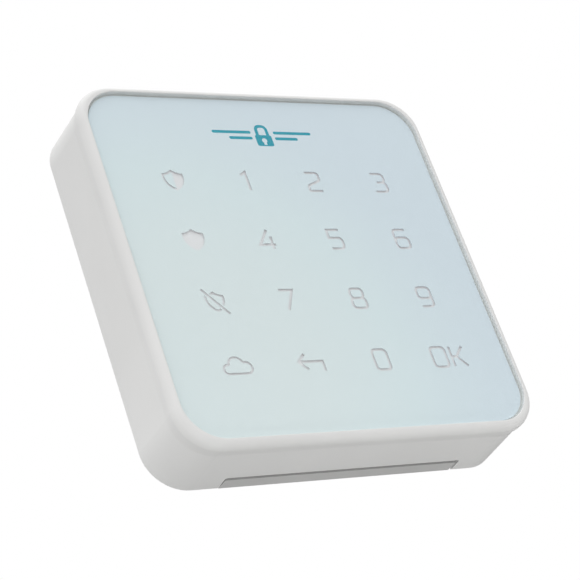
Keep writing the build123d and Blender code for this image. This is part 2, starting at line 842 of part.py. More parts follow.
def battery_bay():
    """Tray with a cradle for each cell, open towards the wall."""
    tray = block(
        0,
        bay_centre_z,
        2 * (bay_half_length + bay_wall),
        2 * (bay_half_height + bay_wall),
        cover_back_depth,
        bay_front_depth,
    )
    tray -= block(
        0, bay_centre_z, 2 * bay_half_length, 2 * bay_half_height, cover_back_depth, cell_depth
    )
    for z, side in cell_places():
        tray -= rod(z, cell_r + cradle_clearance, -bay_half_length, bay_half_length)
    contact_room = spring_reach + 2 * contact_thickness
    for end in (-1, 1):
        tray -= block(
            end * (bay_half_length - contact_room / 2),
            bay_centre_z,
            contact_room,
            2 * bay_half_height,
            cover_back_depth,
            bay_floor_back_depth,
        )
    first_z, first_side = cell_places()[0]
    last_z, last_side = cell_places()[-1]
    for z, end in ((first_z, first_side), (last_z, -last_side)):
        slot_x = end * (bay_half_length - contact_thickness / 2)
        tray -= block(slot_x, z, contact_thickness + 0.3, 2.6, cell_depth, bay_front_depth)
    return tray


def rear_cover():
    outline = cover_outline()
    for side in (-1, 1):
        outline -= Pos(side * hook_offset_x, 0) * hook_window()
    outline -= Pos(0, bay_centre_z) * Rectangle(2 * bay_half_length + 1, 2 * bay_half_height + 1)
    outline -= Pos(tamper_x, tamper_z) * Circle(tamper_head_r + tamper_clearance)
    slot_length = power_pad_length + power_travel + 2 * power_clearance
    slot_height = power_pad_width + 2 * power_clearance
    outline -= Pos(power_x + power_travel / 2, power_z) * RectangleRounded(slot_length, slot_height, 0.8)
    for ring_place in PolarLocations(2.6, 6).locations:
        outline -= Pos(sounder_x, sounder_z) * ring_place * Circle(0.7)
    outline -= Pos(sounder_x, sounder_z) * Circle(0.7)
    cover = plate_between(outline, cover_back_depth, cover_front_depth) + battery_bay()
    for x, z in cover_post_places():
        cover -= disc(x, z, cover_screw_r + screw_clearance, cover_back_depth, cover_front_depth)
        cover -= disc(
            x, z, screw_head_r + screw_clearance, cover_back_depth, cover_back_depth + screw_head_height
        )
    return cover


# ---- wall plate ----------------------------------------------------------------------------------------
def plate_hook(x):
    """L-shaped hook: a post off the plate and a tongue that points up behind the cover."""
    tongue_front = hook_tongue_depth + hook_tongue_thickness
    post_z = hook_base_z + hook_thickness / 2
    post = block(x, post_z, hook_width, hook_thickness, plate_thickness, tongue_front)
    tongue_z = (hook_base_z + hook_tip_z) / 2
    tongue = block(x, tongue_z, hook_width, hook_tip_z - hook_base_z, hook_tongue_depth, tongue_front)
    return post + tongue


def tamper_island():
    """Curved slots round the spot the plunger rests on, so that the spot tears off with the wall screw."""
    slots = Circle(tamper_island_r) - Circle(tamper_island_r - tamper_island_slot)
    bridge = 2 * tamper_island_r * sin(radians(tamper_island_bridge / 2))
    return Pos(tamper_x, tamper_z) * (slots - Rectangle(2 * tamper_island_r + 1, bridge))


def bottom_lip():
    """Lip that closes the housing's notch, standing on the plate's bottom edge."""
    bottom = lip_bottom_z
    root_top = -half_height + back_inset + plate_gap
    width = 2 * lip_half_width
    root = block(lip_x, (bottom + root_top) / 2, width, root_top - bottom, 0, plate_thickness)
    wall = block(lip_x, bottom + lip_thickness / 2, width, lip_thickness, 0, lip_depth)
    wall = fillet(wall.edges().filter_by(Axis.X).group_by(Axis.Y)[0].group_by(Axis.Z)[0], 0.3)
    return root + wall


def plate_pockets():
    """Shallow pockets in the plate's back, between ribs and clear of the holes."""
    pitch = plate_pocket_size + plate_rib
    outline = Sketch()
    for place in GridLocations(pitch, pitch, plate_pockets_per_side, plate_pockets_per_side).locations:
        outline += place * RectangleRounded(plate_pocket_size, plate_pocket_size, 2.0)
    for x, z in wall_hole_places():
        outline -= Pos(x, z) * Circle(wall_hole_r + plate_boss_margin)
    outline -= Pos(tamper_x, tamper_z) * Circle(tamper_island_r + plate_boss_margin)
    return plate_between(outline, 0, plate_pocket_depth)


def up_arrow():
    """Arrow sunk in the plate's back between the hooks, which shows the way up."""
    outline = Triangle(a=up_arrow_width, b=up_arrow_side, c=up_arrow_side)
    arrow_z = hook_base_z + up_arrow_height / 2
    return plate_between(Pos(0, arrow_z) * outline, 0, up_arrow_depth)


def wall_hole_places():
    return four_corners(wall_hole_spacing / 2, wall_hole_spacing / 2)


def wall_plate():
    width = 2 * (half_width - back_inset - plate_gap)
    height = 2 * (half_height - back_inset - plate_gap)
    outline = RectangleRounded(width, height, housing_corner_r - back_inset - plate_gap)
    outline -= tamper_island()
    for side in (-1, 1):
        tongue_centre = (hook_base_z + hook_thickness + hook_tip_z) / 2
        tongue_height = hook_tip_z - hook_base_z - hook_thickness
        outline -= Pos(side * hook_offset_x, tongue_centre) * Rectangle(hook_width, tongue_height)
    plate = plate_between(outline, 0, plate_thickness) + bottom_lip()
    for side in (-1, 1):
        plate += plate_hook(side * hook_offset_x)
    plate -= plate_pockets()
    plate -= up_arrow()
    sink_depth = wall_sink_r - wall_hole_r
    for x, z in wall_hole_places():
        plate -= disc(x, z, wall_hole_r, 0, plate_thickness)
        cone_place = depth_plane(plate_thickness - sink_depth / 2) * Pos(x, z, 0)
        plate -= cone_place * Cone(wall_hole_r, wall_sink_r, sink_depth)
    return plate


# ---- all nodes -----------------------------------------------------------------------------------------
def all_nodes():
    nodes = {
        "wall_plate": wall_plate(),
        "front_housing": front_housing(),
        "glass_panel": glass_panel(),
        "legend_print": legend_print(),
        "mark_print": mark_print(),
        "bonding_tape": bonding_tape(),
        "diffuser_sheet": diffuser_sheet(),
        "light_frame": light_frame(),
        "key_board": key_board(),
        "touch_pads": touch_pads(),
        "key_lights": key_lights(),
        "controller_chip": controller_chip(),
        "radio_module": radio_module(),
        "antenna_wire": antenna_wire(),
        "sounder": sounder(),
        "board_capacitors": board_capacitors(),
        "small_board_parts": small_board_parts(),
        "board_screws": board_screws(),
        "tamper_switch": tamper_switch(),
        "tamper_plunger": tamper_plunger(),
        "tamper_spring": tamper_spring(),
        "power_switch": power_switch(),
        "power_slider": power_slider(),
        "rear_cover": rear_cover(),
        "cover_screws": cover_screws(),
        "battery_contacts": battery_contacts(),
    }
    for index, (z, side) in enumerate(cell_places()):
        nodes[f"battery_cell_{index + 1}"] = battery_cell(z, side)
    return nodes


os.makedirs("parts", exist_ok=True)
for name, shape in all_nodes().items():
    export_step(shape, f"parts/{name}.step")
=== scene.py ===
"""Looks for the wall-mounted alarm keypad: finishes for every piece, the camera, the light and the floor."""

import math

import bmesh
import bpy
from mathutils import Euler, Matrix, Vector


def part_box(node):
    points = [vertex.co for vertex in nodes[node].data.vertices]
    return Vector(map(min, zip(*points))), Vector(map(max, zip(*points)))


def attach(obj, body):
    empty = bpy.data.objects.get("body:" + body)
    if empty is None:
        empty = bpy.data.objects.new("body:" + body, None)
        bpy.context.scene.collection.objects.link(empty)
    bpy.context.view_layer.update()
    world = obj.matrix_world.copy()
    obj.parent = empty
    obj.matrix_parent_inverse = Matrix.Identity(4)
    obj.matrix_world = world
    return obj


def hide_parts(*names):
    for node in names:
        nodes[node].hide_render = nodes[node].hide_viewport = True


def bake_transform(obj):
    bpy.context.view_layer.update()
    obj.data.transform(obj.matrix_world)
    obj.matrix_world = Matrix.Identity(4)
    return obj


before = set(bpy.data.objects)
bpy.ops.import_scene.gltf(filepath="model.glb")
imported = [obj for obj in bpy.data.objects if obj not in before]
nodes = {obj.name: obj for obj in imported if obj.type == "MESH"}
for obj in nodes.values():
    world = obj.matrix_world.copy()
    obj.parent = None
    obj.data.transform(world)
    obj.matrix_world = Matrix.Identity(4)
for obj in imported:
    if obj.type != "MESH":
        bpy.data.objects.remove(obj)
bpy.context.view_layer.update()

MM = 0.001


# ---- colours, node trees and pieces --------------------------------------------------------------------
def linear(hex_colour):
    """sRGB hex to a linear colour with full alpha."""
    channels = [int(hex_colour[i : i + 2], 16) / 255 for i in (0, 2, 4)]
    return tuple(c / 12.92 if c <= 0.04045 else ((c + 0.055) / 1.055) ** 2.4 for c in channels) + (1.0,)


def add(tree, kind, values=None, links=None, stops=(), **settings):
    """Adds a node with its settings, its sockets' values, the links into it and its (position, hex) stops."""
    node = tree.nodes.new(kind)
    for name, value in settings.items():
        setattr(node, name, value)
    for socket, value in (values or {}).items():
        node.inputs[socket].default_value = value
    for socket, source in (links or {}).items():
        output = source.outputs[0] if isinstance(source, bpy.types.Node) else source
        tree.links.new(output, node.inputs[socket])
    for position, _ in stops[2:]:
        node.color_ramp.elements.new(position)
    for index, (position, hex_colour) in enumerate(stops):
        node.color_ramp.elements[index].position = position
        node.color_ramp.elements[index].color = linear(hex_colour)
    return node


def start_finish(name):
    """Bare material, and the object coordinates that its patterns are laid out on."""
    material = bpy.data.materials.new(name)
    material.use_nodes = True
    material.node_tree.nodes.clear()
    place = add(material.node_tree, "ShaderNodeTexCoord").outputs["Object"]
    return material, material.node_tree, place


def close_finish(
    material, tree, colour, rough_by, rough_range, raised_by, raised_mm, values=None, links=None
):
    """Ends a finish: one pattern moves its roughness through a range, and one raises its skin."""
    least, most = rough_range
    middle = {"From Min": 0.3, "From Max": 0.7, "To Min": least, "To Max": most}
    roughness = add(tree, "ShaderNodeMapRange", middle, {"Value": rough_by})
    skin = add(tree, "ShaderNodeBump", {"Distance": raised_mm * MM}, {"Height": raised_by})
    patterned = {"Base Color": colour, "Roughness": roughness, "Normal": skin, **(links or {})}
    shader = add(tree, "ShaderNodeBsdfPrincipled", values, patterned)
    add(tree, "ShaderNodeOutputMaterial", links={"Surface": shader})
    return material


def depth_band(tree, place, depth_from, depth_to):
    """1 between two depths from the wall, in millimetres, and 0 elsewhere."""
    depth = add(tree, "ShaderNodeSeparateXYZ", links={"Vector": place}).outputs["Y"]
    values = {1: -(depth_from + depth_to) / 2 * MM, 2: (depth_to - depth_from) / 2 * MM}
    return add(tree, "ShaderNodeMath", values, {0: depth}, operation="COMPARE")


def wear(finish, *names):
    """Gives CAD nodes their finish."""
    for name in names:
        mesh = nodes[name].data
        mesh.materials.clear()
        mesh.materials.append(finish)


def make_piece(name, shape, finish):
    """Turns a finished bmesh into an object at the origin, with its finish."""
    mesh = bpy.data.meshes.new(name)
    shape.to_mesh(mesh)
    shape.free()
    mesh.materials.append(finish)
    piece = bpy.data.objects.new(name, mesh)
    bpy.context.scene.collection.objects.link(piece)
    return piece


# ---- plastics ------------------------------------------------------------------------------------------
ABS_GRAIN_MM = 0.32
FLOW_CLOUD_MM = 26.0
RUBBED_PATCH_MM = 9.0
LIP_Z_MM = -50.0
# Painted shade on the wall plate's lip, in the gap under the housing: its depths from the wall and its grey.
LIP_GAP_SHADE_DEPTHS = (3.95, 4.7)
GAP_SHADE_HEX = "989897"
OPAL_HAZE_MM = 6.0
OPAL_GRAIN_MM = 0.25
OPAL_PAINTED_GLOW = 0.13
FOAM_CELL_MM = 0.4
DRAG_MARK_MM = 0.3


def moulded_abs(
    name, light, dark, roughness, grain_mm=ABS_GRAIN_MM, grain_height_mm=0.008, specular=0.5, shaded_gap_depths=None
):
    """Injection-moulded ABS from a spark-eroded mould.

    The eye sees an even satin skin with a fine grain that breaks up highlights, faint flow clouds in
    colour and gloss, and slightly shinier patches where hands and cloths have rubbed it. On the wall
    plate a painted shade greys its lip's front edge between the two depths given: it stands in for the
    shadow in the gap under the housing.
    """
    material, tree, place = start_finish(name)
    grain = add(
        tree, "ShaderNodeTexNoise", {"Scale": 1 / (grain_mm * MM), "Detail": 2.0}, {"Vector": place}
    )
    clouds = {"Scale": 1 / (FLOW_CLOUD_MM * MM), "Detail": 3.0, "Distortion": 0.6}
    flow = add(tree, "ShaderNodeTexNoise", clouds, {"Vector": place})
    rubbed = add(
        tree, "ShaderNodeTexNoise", {"Scale": 1 / (RUBBED_PATCH_MM * MM), "Detail": 5.0}, {"Vector": place}
    )
    colour = add(tree, "ShaderNodeValToRGB", links={"Fac": flow}, stops=((0.35, dark), (0.65, light)))
    # Painted shade: below the lip's height and between the given depths, the plate turns grey where the gap's
    # shadow lies.
    if shaded_gap_depths:
        height = add(tree, "ShaderNodeSeparateXYZ", links={"Vector": place}).outputs["Z"]
        below = add(tree, "ShaderNodeMath", {1: LIP_Z_MM * MM}, {0: height}, operation="LESS_THAN")
        band = depth_band(tree, place, *shaded_gap_depths)
        painted_gap_shade = add(tree, "ShaderNodeMath", links={0: below, 1: band}, operation="MULTIPLY")
        colour = add(
            tree, "ShaderNodeMix", {7: linear(GAP_SHADE_HEX)}, {"Factor": painted_gap_shade, 6: colour}, data_type="RGBA"
        ).outputs[2]
    return close_finish(
        material,
        tree,
        colour,
        rough_by=rubbed,
        rough_range=(roughness - 0.06, roughness + 0.06),
        raised_by=grain,
        raised_mm=grain_height_mm,
        values={"IOR": 1.53, "Specular IOR Level": specular},
    )


def opal_sheet():
    """Opal polycarbonate, calendered to a matt sheet.

    The eye sees an even milky white in the keys' open strokes. The sheet glows faintly: painted light
    that lifts the strokes, which would otherwise lie darker in the shade of the print above them.
    """
    material, tree, place = start_finish("calendered_opal_polycarbonate")
    haze = add(
        tree, "ShaderNodeTexNoise", {"Scale": 1 / (OPAL_HAZE_MM * MM), "Detail": 2.0}, {"Vector": place}
    )
    matt = add(
        tree, "ShaderNodeTexNoise", {"Scale": 1 / (OPAL_GRAIN_MM * MM), "Detail": 1.0}, {"Vector": place}
    )
    milk = add(tree, "ShaderNodeValToRGB", links={"Fac": haze}, stops=((0.3, "DBD9DB"), (0.7, "E0DEE0")))
    # Painted light: a faint glow that lifts the strokes out of the shade of the print above them.
    painted_glow_emission = {"Emission Color": linear("FFF4F4"), "Emission Strength": OPAL_PAINTED_GLOW}
    return close_finish(
        material,
        tree,
        milk,
        rough_by=haze,
        rough_range=(0.5, 0.62),
        raised_by=matt,
        raised_mm=0.003,
        values={"IOR": 1.58, **painted_glow_emission},
    )


def foam_tape():
    """Double-sided acrylic foam tape: an off-white sponge whose cut edge shows small closed cells."""
    material, tree, place = start_finish("closed_cell_acrylic_foam_tape")
    cells = add(tree, "ShaderNodeTexVoronoi", {"Scale": 1 / (FOAM_CELL_MM * MM)}, {"Vector": place})
    sponge = add(
        tree, "ShaderNodeValToRGB", links={"Fac": cells}, stops=((0.0, "D9DAD6"), (0.6, "EDEDEA"))
    )
    skin = add(tree, "ShaderNodeBump", {"Distance": 0.05 * MM}, {"Height": cells})
    patterned = {"Base Color": sponge, "Normal": skin}
    shader = add(tree, "ShaderNodeBsdfPrincipled", {"Roughness": 0.85, "IOR": 1.47}, patterned)
    add(tree, "ShaderNodeOutputMaterial", links={"Surface": shader})
    return material


def moulded_acetal(name, light, dark, roughness):
    """Moulded acetal: a slightly waxy, slippery skin with faint drag marks along the way it slides."""
    material, tree, place = start_finish(name)
    along = add(tree, "ShaderNodeMapping", {"Scale": (1.0, 0.12, 1.0)}, {"Vector": place})
    drag = add(
        tree, "ShaderNodeTexNoise", {"Scale": 1 / (DRAG_MARK_MM * MM), "Detail": 4.0}, {"Vector": along}
    )
    colour = add(tree, "ShaderNodeValToRGB", links={"Fac": drag}, stops=((0.3, dark), (0.7, light)))
    return close_finish(
        material,
        tree,
        colour,
        rough_by=drag,
        rough_range=(roughness - 0.08, roughness + 0.08),
        raised_by=drag,
        raised_mm=0.004,
        values={"IOR": 1.48},
    )


# ---- glass and its print -------------------------------------------------------------------------------
WIPED_PATCH_MM = 22.0
# Painted reflection on the prints: where their colour shift starts, and the distances over which it runs.
PAINTED_SHEEN_START = Vector((-40 * MM, 0.0, -30 * MM))
PAINTED_SHEEN_NEAR_MM = 20.0
PAINTED_SHEEN_FAR_MM = 95.0
PRINT_MESH_MM = 0.5


def toughened_glass():
    """Float glass, polished and toughened: clear, with reflections that grow as the view gets flatter.

    The eye sees the print through it, a soft sheen of the room, and a faint haze from wiping. The sheen
    is on its outer faces only, because light that leaves through them isn't bent here.
    """
    material, tree, place = start_finish("polished_toughened_float_glass")
    wiped = add(
        tree, "ShaderNodeTexNoise", {"Scale": 1 / (WIPED_PATCH_MM * MM), "Detail": 6.0}, {"Vector": place}
    )
    polish = {"From Min": 0.3, "From Max": 0.7, "To Min": 0.05, "To Max": 0.14}
    haze = add(tree, "ShaderNodeMapRange", polish, {"Value": wiped})
    clear = add(tree, "ShaderNodeBsdfTransparent", {"Color": linear("FCFEFE")})
    sheen = add(tree, "ShaderNodeBsdfAnisotropic", {"Color": linear("FFFFFF")}, {"Roughness": haze})
    flat_view = add(tree, "ShaderNodeFresnel", {"IOR": 1.52})
    inner_side = add(tree, "ShaderNodeNewGeometry").outputs["Backfacing"]
    outer_side = add(tree, "ShaderNodeMath", {0: 1.0}, {1: inner_side}, operation="SUBTRACT")
    amount = add(tree, "ShaderNodeMath", links={0: flat_view, 1: outer_side}, operation="MULTIPLY")
    surface = add(tree, "ShaderNodeMixShader", links={0: amount, 1: clear, 2: sheen})
    add(tree, "ShaderNodeOutputMaterial", links={"Surface": surface})
    return material


def fired_enamel(name, lower_left, middle, far):
    """Ceramic enamel, screen-printed on the glass's back and fired on.

    The eye sees a flat, even coat. Its colour shifts slowly from the lower left corner outwards: a
    painted reflection, standing in for the light the glass throws across it. It has no gloss of its
    own, because it is wetted onto the glass, and the glass carries the sheen.
    """
    material, tree, place = start_finish(name)
    # Painted reflection: the colour shifts with distance from the lower left corner, in place of the glass's
    # sheen.
    from_corner = add(tree, "ShaderNodeMapping", {"Location": -PAINTED_SHEEN_START}, {"Vector": place})
    flat = add(
        tree, "ShaderNodeVectorMath", {1: (1.0, 0.0, 1.0)}, {0: from_corner}, operation="MULTIPLY"
    )
    away = add(tree, "ShaderNodeVectorMath", links={0: flat}, operation="LENGTH").outputs["Value"]
    painted_sheen_fade = add(
        tree,
        "ShaderNodeMapRange",
        {"From Min": PAINTED_SHEEN_NEAR_MM * MM, "From Max": PAINTED_SHEEN_FAR_MM * MM},
        {"Value": away},
        interpolation_type="SMOOTHSTEP",
    )
    print_and_sheen_stops = ((0.0, lower_left), (0.5, middle), (1.0, far))
    print_and_painted_sheen = add(tree, "ShaderNodeValToRGB", links={"Fac": painted_sheen_fade}, stops=print_and_sheen_stops)
    screen = add(
        tree, "ShaderNodeTexNoise", {"Scale": 1 / (PRINT_MESH_MM * MM), "Detail": 1.0}, {"Vector": place}
    )
    return close_finish(
        material,
        tree,
        print_and_painted_sheen,
        rough_by=screen,
        rough_range=(0.38, 0.46),
        raised_by=screen,
        raised_mm=0.001,
        values={"IOR": 1.5, "Specular IOR Level": 0.0},
    )


# ---- metals --------------------------------------------------------------------------------------------
def worked_metal(name, bright, dull, roughness, mark_mm, mark_height_mm, stretch=(1.0, 1.0, 1.0)):
    """Bare or plated metal with its working marks.

    The eye sees a bright skin whose highlights break along the marks left by rolling, drawing or plating,
    and a little dulling where it has been handled.
    """
    material, tree, place = start_finish(name)
    along = add(tree, "ShaderNodeMapping", {"Scale": stretch}, {"Vector": place})
    marks = add(
        tree, "ShaderNodeTexNoise", {"Scale": 1 / (mark_mm * MM), "Detail": 4.0}, {"Vector": along}
    )
    colour = add(tree, "ShaderNodeValToRGB", links={"Fac": marks}, stops=((0.3, dull), (0.7, bright)))
    return close_finish(
        material,
        tree,
        colour,
        rough_by=marks,
        rough_range=(roughness - 0.08, roughness + 0.1),
        raised_by=marks,
        raised_mm=mark_height_mm,
        values={"Metallic": 1.0},
    )


# ---- electronics ---------------------------------------------------------------------------------------
BOARD_BACK, BOARD_FRONT = (-limit.y / MM for limit in reversed(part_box("key_board")))
TRACK_PITCH_MM = 3.2
TRACK_WIDTH = 0.09
WEAVE_MM = 1.2
SOLDER_MASK = 0.05
EPOXY_GRIT_MM = 0.2
FOOT_GAP_MM = 0.03
SCUFF_MM = 1.5
KEY_PITCH_X_MM = 20.9
KEY_PITCH_Z_MM = 18.3
LED_WINDOW_MM = 0.8
LED_GRIT_MM = 0.15
CELL_SPAN_MM = 47.8
SLEEVE_RIPPLE_MM = 2.5
SLEEVE_HALF = 0.405


def glass_epoxy_board():
    """Glass-epoxy board with a green solder mask over etched copper, and its raw laminate on the cut edge.

    The eye sees the tracks as paler raised lines under the mask, and the glass cloth's weave at the edge.
    """
    material, tree, place = start_finish("green_masked_glass_epoxy")
    tracks = add(
        tree,
        "ShaderNodeTexVoronoi",
        {"Scale": 1 / (TRACK_PITCH_MM * MM)},
        {"Vector": place},
        feature="DISTANCE_TO_EDGE",
        distance="CHEBYCHEV",
    )
    copper = add(tree, "ShaderNodeMath", {1: TRACK_WIDTH}, {0: tracks}, operation="LESS_THAN")
    weave = add(
        tree, "ShaderNodeTexWave", {"Scale": 1 / (WEAVE_MM * MM), "Distortion": 0.4}, {"Vector": place}
    ).outputs["Fac"]
    mask = add(tree, "ShaderNodeValToRGB", links={"Fac": copper}, stops=((0.0, "17603B"), (1.0, "2A7D50")))
    cloth = add(tree, "ShaderNodeValToRGB", links={"Fac": weave}, stops=((0.0, "A99A62"), (1.0, "C4B780")))
    cut_edge = depth_band(tree, place, BOARD_BACK + SOLDER_MASK, BOARD_FRONT - SOLDER_MASK)
    colour = add(
        tree, "ShaderNodeMix", links={"Factor": cut_edge, 6: mask, 7: cloth}, data_type="RGBA"
    ).outputs[2]
    return close_finish(
        material,
        tree,
        colour,
        rough_by=weave,
        rough_range=(0.32, 0.42),
        raised_by=copper,
        raised_mm=0.03,
        values={"IOR": 1.55},
    )


def footed_package(name, body_hex, node, body_half_mm):
    """Moulded black package with tinned feet: a fine matt skin, and bright metal past its edge."""
    material, tree, place = start_finish(name)
    low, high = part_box(node)
    centred = add(tree, "ShaderNodeMapping", {"Location": -(low + high) / 2}, {"Vector": place})
    sizes = add(tree, "ShaderNodeVectorMath", links={0: centred}, operation="ABSOLUTE")
    axes = add(tree, "ShaderNodeSeparateXYZ", links={"Vector": sizes})
    both_ways = {0: axes.outputs["X"], 1: axes.outputs["Z"]}
    furthest = add(tree, "ShaderNodeMath", links=both_ways, operation="MAXIMUM")
    edge = (body_half_mm + FOOT_GAP_MM) * MM
    foot = add(tree, "ShaderNodeMath", {1: edge}, {0: furthest}, operation="GREATER_THAN")
    grit = add(
        tree, "ShaderNodeTexNoise", {"Scale": 1 / (EPOXY_GRIT_MM * MM), "Detail": 2.0}, {"Vector": place}
    )
    epoxy = add(tree, "ShaderNodeValToRGB", links={"Fac": grit}, stops=((0.3, "151515"), (0.7, body_hex)))
    tin = add(tree, "ShaderNodeValToRGB", links={"Fac": grit}, stops=((0.3, "B9BBBC"), (0.7, "D6D7D6")))
    colour = add(
        tree, "ShaderNodeMix", links={"Factor": foot, 6: epoxy, 7: tin}, data_type="RGBA"
    ).outputs[2]
    return close_finish(
        material,
        tree,
        colour,
        rough_by=grit,
        rough_range=(0.42, 0.6),
        raised_by=grit,
        raised_mm=0.008,
        values={"IOR": 1.55},
        links={"Metallic": foot},
    )


def part_on_base(name, base_hex, top_hex, base_mm, base_metal, top_metal, roughness):
    """Board part in two materials: a base that stands base_mm high off the board, and what stands on it.

    The eye sees the base's duller colour meet the finish above it in a clean line.
    """
    material, tree, place = start_finish(name)
    base = depth_band(tree, place, BOARD_BACK - base_mm, BOARD_BACK + 0.1)
    scuffs = add(
        tree, "ShaderNodeTexNoise", {"Scale": 1 / (SCUFF_MM * MM), "Detail": 5.0}, {"Vector": place}
    )
    top = add(tree, "ShaderNodeValToRGB", links={"Fac": scuffs}, stops=((0.2, base_hex), (0.45, top_hex)))
    colour = add(
        tree, "ShaderNodeMix", {7: linear(base_hex)}, {"Factor": base, 6: top}, data_type="RGBA"
    ).outputs[2]
    metal = add(tree, "ShaderNodeMapRange", {"To Min": top_metal, "To Max": base_metal}, {"Value": base})
    return close_finish(
        material,
        tree,
        colour,
        rough_by=scuffs,
        rough_range=(roughness - 0.06, roughness + 0.1),
        raised_by=scuffs,
        raised_mm=0.01,
        links={"Metallic": metal},
    )


def led_packages():
    """White light-emitting diodes: a matt white cup with a round yellow phosphor window in its middle."""
    material, tree, place = start_finish("moulded_white_led_with_phosphor")
    low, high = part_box("key_lights")
    half_pitch = Vector((KEY_PITCH_X_MM / 2 * MM, 1.0, KEY_PITCH_Z_MM / 2 * MM))
    first = -(low + high) / 2 + Vector((half_pitch.x, 0.0, half_pitch.z))
    from_led = add(tree, "ShaderNodeMapping", {"Location": first}, {"Vector": place})
    repeated = add(
        tree, "ShaderNodeVectorMath", {1: half_pitch, 2: -half_pitch}, {0: from_led}, operation="WRAP"
    )
    flat = add(tree, "ShaderNodeVectorMath", {1: (1.0, 0.0, 1.0)}, {0: repeated}, operation="MULTIPLY")
    radius = add(tree, "ShaderNodeVectorMath", links={0: flat}, operation="LENGTH").outputs["Value"]
    across = add(tree, "ShaderNodeMapRange", {"From Max": LED_WINDOW_MM * MM}, {"Value": radius})
    phosphor_then_cup = ((0.0, "E9D36A"), (0.4, "EBD874"), (0.46, "F0EFEA"), (1.0, "E8E7E2"))
    colour = add(tree, "ShaderNodeValToRGB", links={"Fac": across}, stops=phosphor_then_cup)
    grit = add(
        tree, "ShaderNodeTexNoise", {"Scale": 1 / (LED_GRIT_MM * MM), "Detail": 2.0}, {"Vector": place}
    )
    return close_finish(
        material,
        tree,
        colour,
        rough_by=grit,
        rough_range=(0.35, 0.5),
        raised_by=grit,
        raised_mm=0.005,
        values={"IOR": 1.5},
    )


def cell_sleeve(name, button_side):
    """Small battery cell: a shrunk plastic sleeve over a drawn steel can.

    The eye sees a satin slate-blue sleeve with a pale band near the button's end, and bare steel at both
    ends.
    """
    material, tree, place = start_finish(name)
    along = add(tree, "ShaderNodeSeparateXYZ", links={"Vector": place}).outputs["X"]
    half_span = button_side * CELL_SPAN_MM / 2 * MM
    position = add(
        tree, "ShaderNodeMapRange", {"From Min": -half_span, "From Max": half_span}, {"Value": along}
    )
    shrink = add(
        tree, "ShaderNodeTexNoise", {"Scale": 1 / (SLEEVE_RIPPLE_MM * MM), "Detail": 4.0}, {"Vector": place}
    )
    slate = ((0.0, "3B4A5A"), (0.738, "3E4E5F"))
    pale_band = ((0.742, "C9CED2"), (0.80, "C9CED2"), (0.804, "3E4E5F"))
    bands = add(tree, "ShaderNodeValToRGB", links={"Fac": position}, stops=slate + pale_band)
    steel = add(tree, "ShaderNodeValToRGB", links={"Fac": shrink}, stops=((0.3, "A9ABAC"), (0.7, "C9CACA")))
    sleeved = add(tree, "ShaderNodeMath", {1: 0.5, 2: SLEEVE_HALF}, {0: position}, operation="COMPARE")
    bare = add(tree, "ShaderNodeMath", {0: 1.0}, {1: sleeved}, operation="SUBTRACT")
    colour = add(
        tree, "ShaderNodeMix", links={"Factor": sleeved, 6: steel, 7: bands}, data_type="RGBA"
    ).outputs[2]
    return close_finish(
        material,
        tree,
        colour,
        rough_by=shrink,
        rough_range=(0.26, 0.4),
        raised_by=shrink,
        raised_mm=0.02,
        links={"Metallic": bare},
    )


# ---- every node's finish -------------------------------------------------------------------------------
wear(
    moulded_abs("moulded_white_abs_housing", "E6E6E5", "E3E3E2", roughness=0.5, specular=0.3),
    "front_housing",
)
wear(
    moulded_abs("moulded_white_abs_plate", "CDCDCC", "C9C9C8", roughness=0.55, shaded_gap_depths=LIP_GAP_SHADE_DEPTHS),
    "wall_plate",
)
wear(moulded_abs("moulded_grey_abs_cover", "C9CBCC", "C3C5C6", roughness=0.55), "rear_cover")
wear(
    moulded_abs(
        "moulded_white_light_frame", "E9E9E7", "E4E4E2", roughness=0.45, grain_mm=0.5, grain_height_mm=0.004
    ),
    "light_frame",
)
wear(
    moulded_abs("moulded_black_sounder_case", "252527", "1A1A1B", roughness=0.45, grain_mm=0.3), "sounder"
)
wear(fired_enamel("fired_pale_blue_enamel", "E9EFF0", "E5EEF1", "E0E8F0"), "legend_print")
wear(fired_enamel("fired_teal_enamel", "00A6B8", "00A3B6", "009FB4"), "mark_print")
wear(opal_sheet(), "diffuser_sheet")
wear(foam_tape(), "bonding_tape")
wear(glass_epoxy_board(), "key_board")
wear(
    worked_metal(
        "gold_flashed_copper", "E8C070", "CFA355", roughness=0.32, mark_mm=0.4, mark_height_mm=0.002
    ),
    "touch_pads",
)
wear(led_packages(), "key_lights")
for name, body_hex, node, body_half_mm in (
    ("moulded_epoxy_chip", "1F1F20", "controller_chip", 5.0),
    ("moulded_black_nylon_tamper_body", "1E1E20", "tamper_switch", 3.8),
    ("moulded_black_nylon_power_body", "1C1C1E", "power_switch", 6.0),
):
    wear(footed_package(name, body_hex, node, body_half_mm), node)
wear(
    part_on_base(
        "tinned_shield_can_on_carrier",
        "2F5B45",
        "C4C6C8",
        base_mm=0.8,
        base_metal=0.0,
        top_metal=1.0,
        roughness=0.3,
    ),
    "radio_module",
)
wear(
    part_on_base(
        "drawn_aluminium_capacitor_can",
        "1B1B1D",
        "C3C5C6",
        base_mm=1.02,
        base_metal=0.0,
        top_metal=1.0,
        roughness=0.34,
    ),
    "board_capacitors",
)
wear(
    part_on_base(
        "tinned_ceramic_chips",
        "C9C4B4",
        "8F7F68",
        base_mm=0.15,
        base_metal=0.6,
        top_metal=0.0,
        roughness=0.45,
    ),
    "small_board_parts",
)
for name, screws in (
    ("zinc_plated_screw_steel", "board_screws"),
    ("zinc_plated_cover_screw_steel", "cover_screws"),
):
    wear(
        worked_metal(name, "D2D4D4", "B4B7BA", roughness=0.3, mark_mm=0.35, mark_height_mm=0.006), screws
    )
spring_steel = worked_metal(
    "drawn_spring_steel", "BFC0C0", "9A9B9C", roughness=0.28, mark_mm=0.2, mark_height_mm=0.004
)
wear(spring_steel, "tamper_spring", "antenna_wire")
